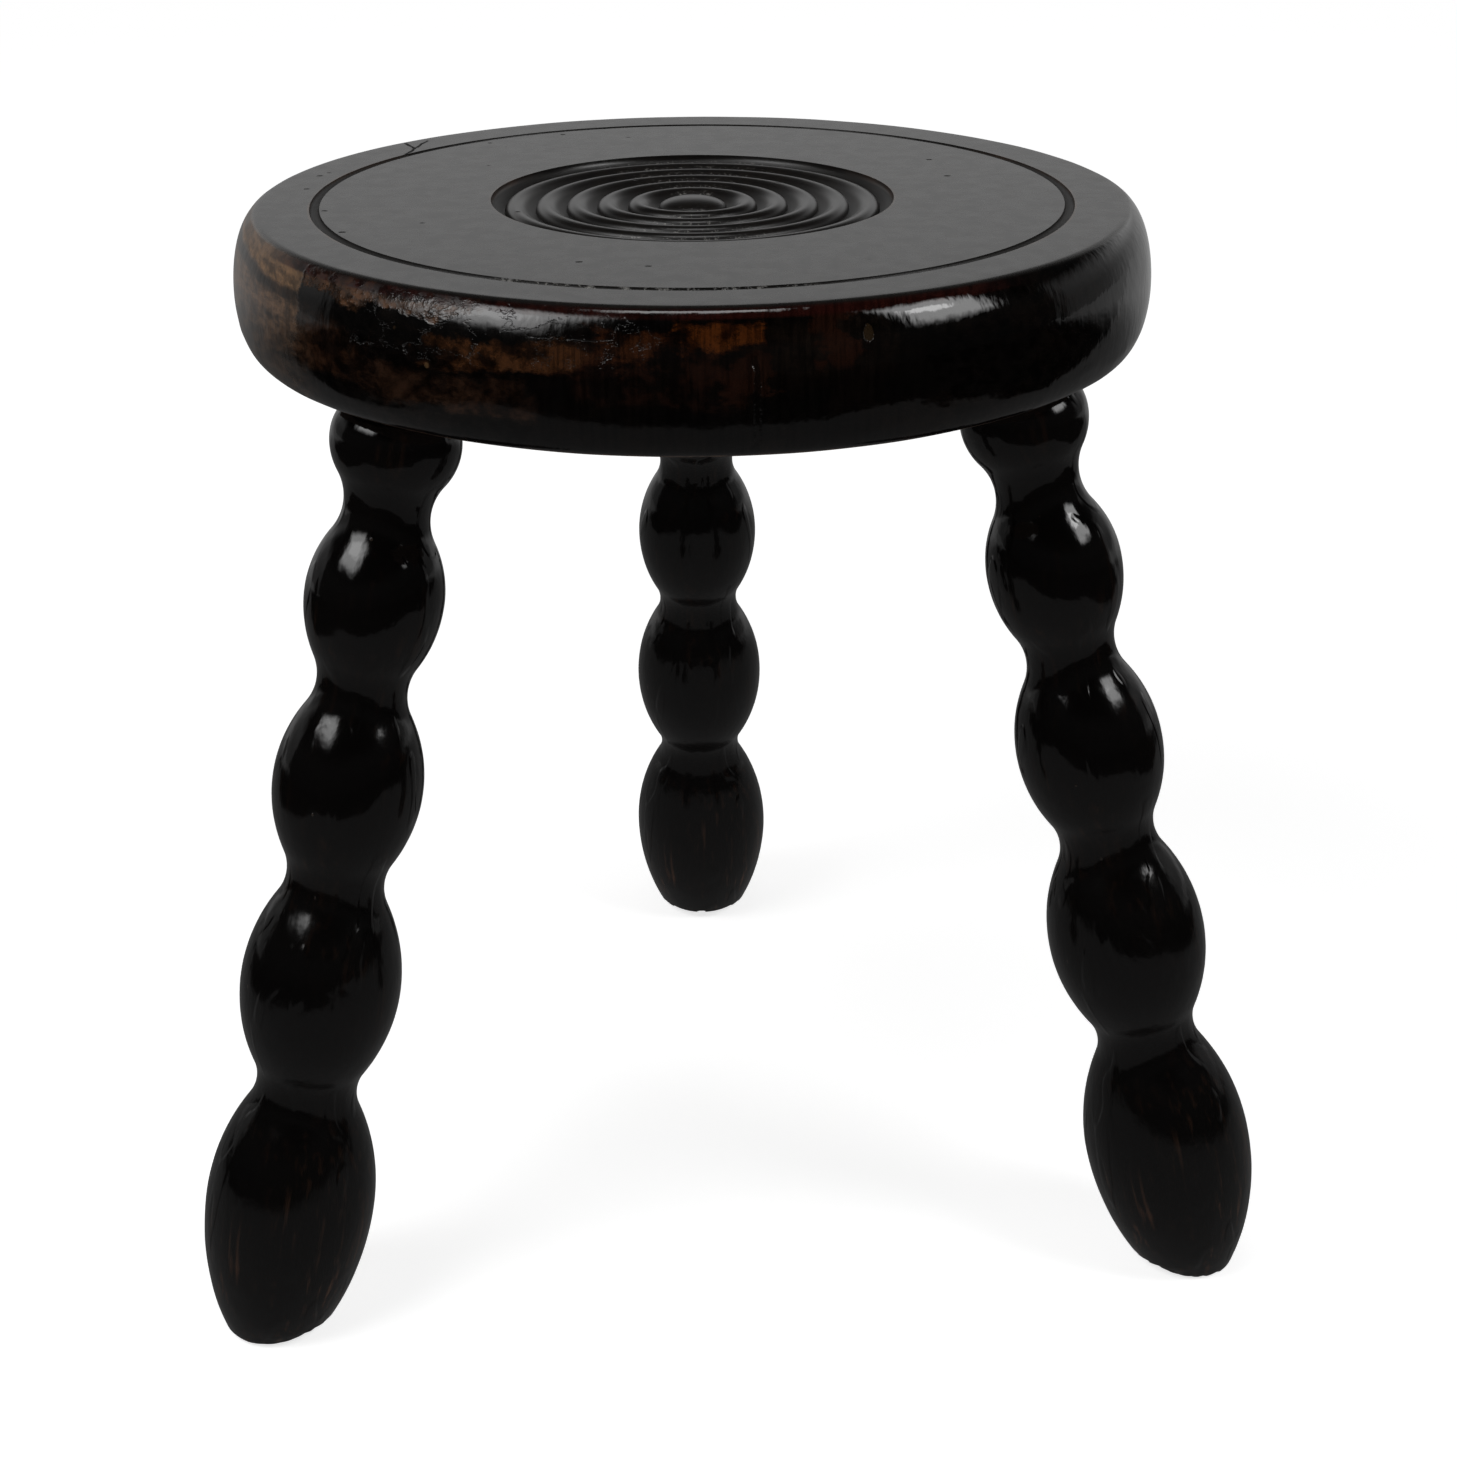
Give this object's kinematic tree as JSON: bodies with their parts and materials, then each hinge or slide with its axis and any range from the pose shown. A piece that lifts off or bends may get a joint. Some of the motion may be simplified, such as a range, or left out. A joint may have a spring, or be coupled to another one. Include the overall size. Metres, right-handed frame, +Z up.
{
  "type": "tripod stool",
  "caption": "Low round tripod stool with splayed bobbin-turned legs; the thick seat has a rounded rim, a ring groove and a shallow dish of ring beads round a central dome.",
  "frame": {"origin": "middle of the base of the bounding box, at floor level; the seat's axis passes 11.6 mm to -X and 29.4 mm to -Y of it, because the legs are unevenly splayed", "axes": "+Z up out of the seat's flat top; +Y towards the single back leg, along the seat's grain; the stool's front faces -Y"},
  "size_m": [0.348, 0.3388, 0.347],
  "materials": {
    "seat_wood": "very dark brown varnish, satin on top, glossy on the rim, worn to orange-brown wood in patches",
    "leg_wood": "near-black glossy varnish, slightly worn near the feet",
    "wedge_wood": "bare wood"
  },
  "bodies": {
    "root": {"seat": "seat_wood", "leg_front_left": "leg_wood", "leg_front_right": "leg_wood", "leg_back": "leg_wood", "wedge_front_left": "wedge_wood", "wedge_front_right": "wedge_wood", "wedge_back": "wedge_wood"}
  },
  "joints": []
}
